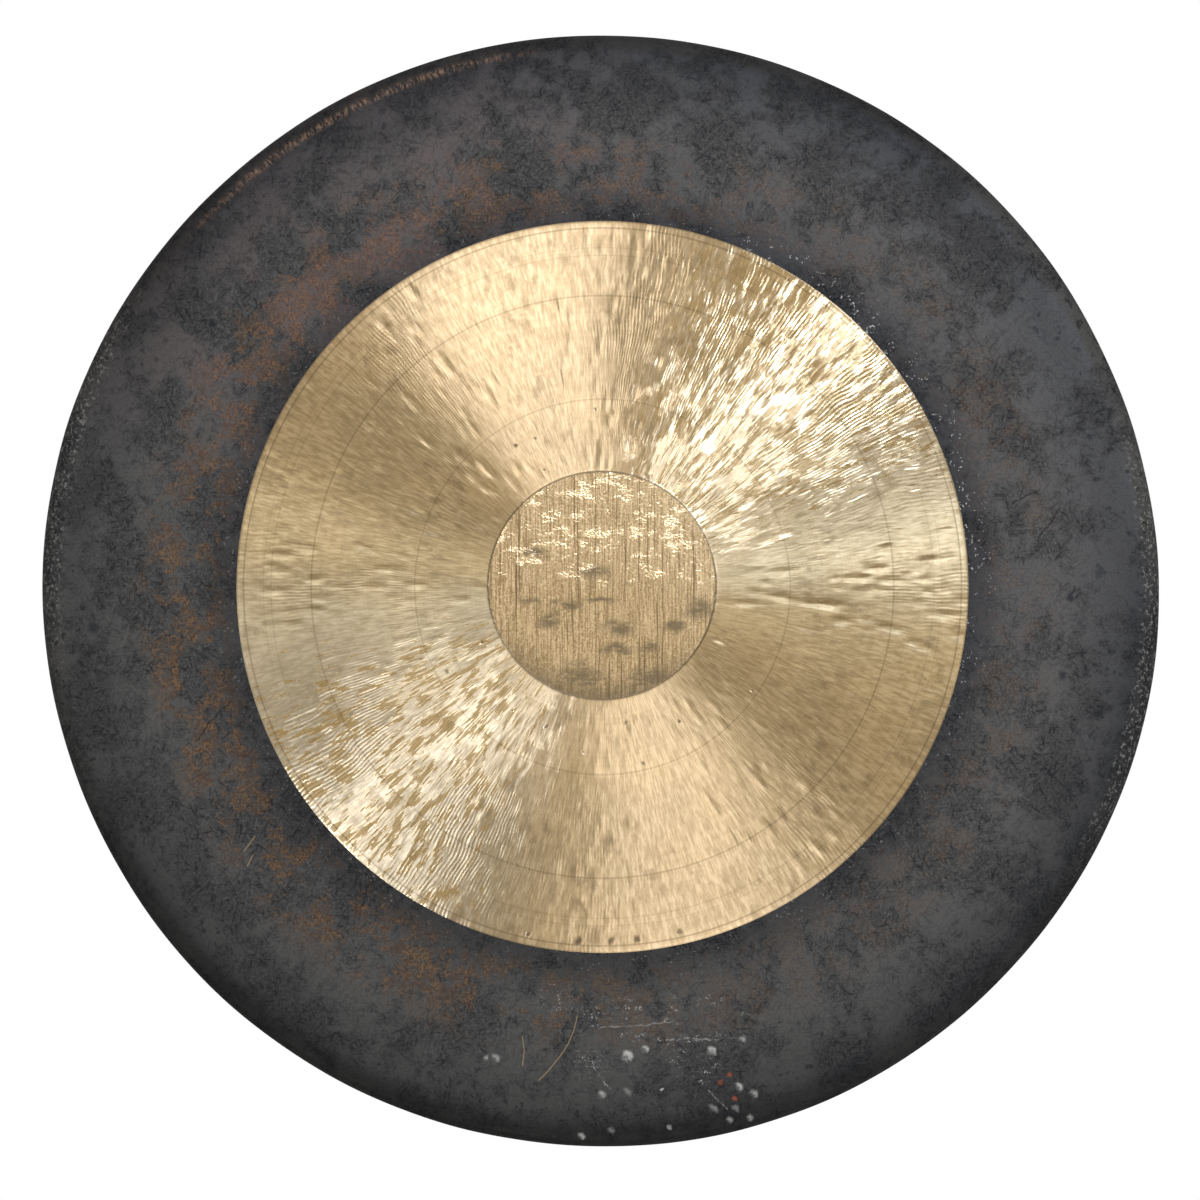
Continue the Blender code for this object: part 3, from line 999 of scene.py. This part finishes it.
def pale_floor():
    bpy.ops.mesh.primitive_plane_add(size=FLOOR_SIZE, location=(0, 0, AXIS_Z - RADIUS - FLOOR_DROP))
    floor = bpy.context.object
    floor.name = "floor"
    mix = Finish("pale_floor", Roughness=0.8, Base_Color=(0.8, 0.8, 0.8, 1))
    seen = mix.node("LightPath", {}, "Is Camera Ray")
    mirrored = seen.node.outputs["Is Glossy Ray"]
    glow = mix.times(mix.larger(seen, mirrored), FLOOR_GLOW)
    mix.dress(Emission_Color=(1, 1, 1, 1), Emission_Strength=glow)
    floor.data.materials.append(mix.material)
    bpy.ops.object.select_all(action="DESELECT")


def studio_world():
    """White to the camera and in the metal, and a soft even light on the gong."""
    world = bpy.data.worlds.new("studio")
    bpy.context.scene.world = world
    world.use_nodes = True
    tree = world.node_tree
    background = tree.nodes["Background"]
    background.inputs["Color"].default_value = (1, 1, 1, 1)
    path = tree.nodes.new("ShaderNodeLightPath")
    shown = path.outputs["Is Camera Ray"]
    for ray in ("Is Glossy Ray", "Is Transmission Ray"):
        either = tree.nodes.new("ShaderNodeMath")
        either.operation = "MAXIMUM"
        tree.links.new(shown, either.inputs[0])
        tree.links.new(path.outputs[ray], either.inputs[1])
        shown = either.outputs[0]
    level = tree.nodes.new("ShaderNodeMapRange")
    tree.links.new(shown, level.inputs["Value"])
    level.inputs["To Min"].default_value = WORLD_LIGHT
    level.inputs["To Max"].default_value = 1.0
    tree.links.new(level.outputs[0], background.inputs["Strength"])


def lamp(name, clock, aside, ahead, across, along, watts, colour=(1, 1, 1), shine=True):
    """A soft box at a place on the clock, aside of the gong's axis and ahead of its face.

    A box that gives shine shows in the bronze, and one that doesn't lights the dull surfaces.
    """
    angle = math.radians(clock)
    light = bpy.data.lights.new(name, "AREA")
    light.shape = "RECTANGLE"
    light.size, light.size_y = across, along
    light.energy = watts
    light.color = colour
    box = bpy.data.objects.new(name, light)
    bpy.context.scene.collection.objects.link(box)
    box.location = (aside * math.sin(angle), FACE_Y - ahead, AXIS_Z + aside * math.cos(angle))
    aim = Vector((0, FACE_Y, AXIS_Z)) - box.location
    outward = Vector((math.sin(angle), 0, math.cos(angle)))
    back_of_box = -aim.normalized()
    along_axis = (outward - back_of_box * outward.dot(back_of_box)).normalized()
    across_axis = along_axis.cross(back_of_box)
    box.rotation_mode = "QUATERNION"
    basis = np.array([across_axis, along_axis, back_of_box]).T
    box.rotation_quaternion = Matrix(basis.tolist()).to_quaternion()
    box.visible_camera = False
    box.visible_glossy = shine
    box.visible_diffuse = not shine


def studio_camera():
    """A long lens, square to the face."""
    data = bpy.data.cameras.new("camera")
    data.sensor_width = SENSOR_WIDTH
    data.sensor_fit = "HORIZONTAL"
    data.lens = SENSOR_WIDTH * CAMERA_DISTANCE / VIEW_WIDTH
    camera = bpy.data.objects.new("camera", data)
    bpy.context.scene.collection.objects.link(camera)
    camera.location = (AIM[0], AIM[1] - CAMERA_DISTANCE, AIM[2])
    camera.rotation_euler = (math.pi / 2, 0, 0)
    bpy.context.scene.camera = camera


pale_floor()
studio_world()
lamp("upper_left_shine", -17, aside=1.4, ahead=2.0, across=1.00, along=0.35, watts=62, colour=COOL)
lamp("upper_right_shine", 44, aside=1.4, ahead=2.0, across=0.34, along=0.36, watts=124, colour=BLUE)
lamp("right_shine", 80, aside=0.9, ahead=1.2, across=0.21, along=0.55, watts=10.5, colour=SKY_BLUE)
lamp("left_shine", 281, aside=1.6, ahead=2.0, across=0.3, along=0.9, watts=9, colour=PALE_BLUE)
lamp("front_light", 40, aside=1.6, ahead=2.2, across=1.4, along=1.4, watts=50, colour=WARM, shine=False)
lamp("back_light", 330, aside=1.2, ahead=-2.2, across=1.5, along=1.5, watts=60, shine=False)
studio_camera()
bpy.context.scene.view_settings.view_transform = "Standard"
